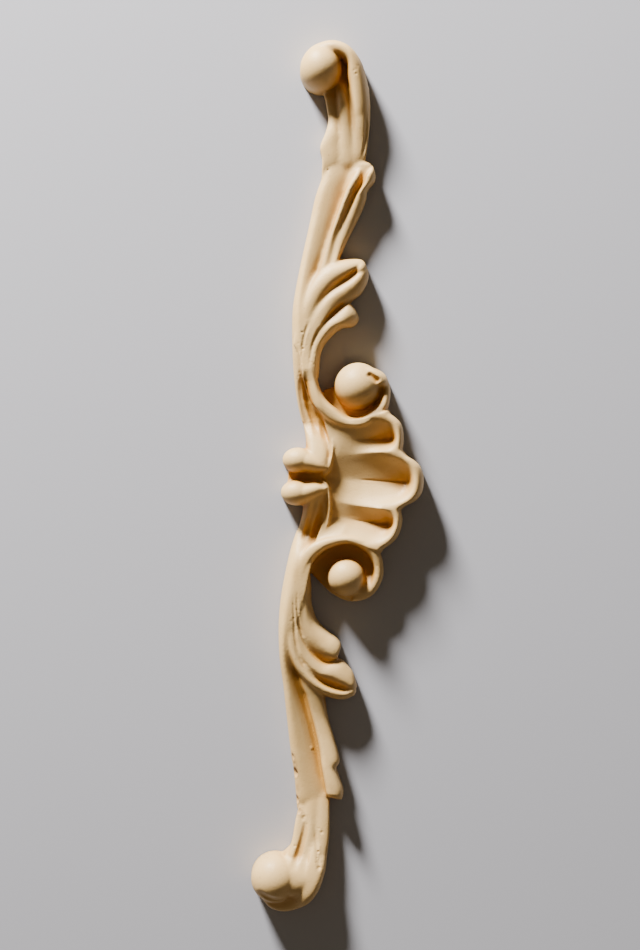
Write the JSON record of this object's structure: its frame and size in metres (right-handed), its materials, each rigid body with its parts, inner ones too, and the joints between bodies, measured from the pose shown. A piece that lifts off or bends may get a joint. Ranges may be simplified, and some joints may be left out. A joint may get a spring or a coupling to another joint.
{
  "type": "decorative frieze",
  "caption": "Cast resin applied ornament with a fluted shell between two volutes, and on each side a leafed stem that ends in a scroll, on a flat back.",
  "frame": {"origin": "on the flat back, under the groove between the two buds, in the middle of the ornament's length", "axes": "+Y along the ornament, +X towards the tip of the shell, +Z out of the back towards the carving"},
  "size_m": [0.0374, 0.2152, 0.0094],
  "materials": {
    "cast_resin": "unpainted cream casting resin, matt to satin"
  },
  "bodies": {
    "root": {"frieze": "cast_resin"}
  },
  "joints": []
}
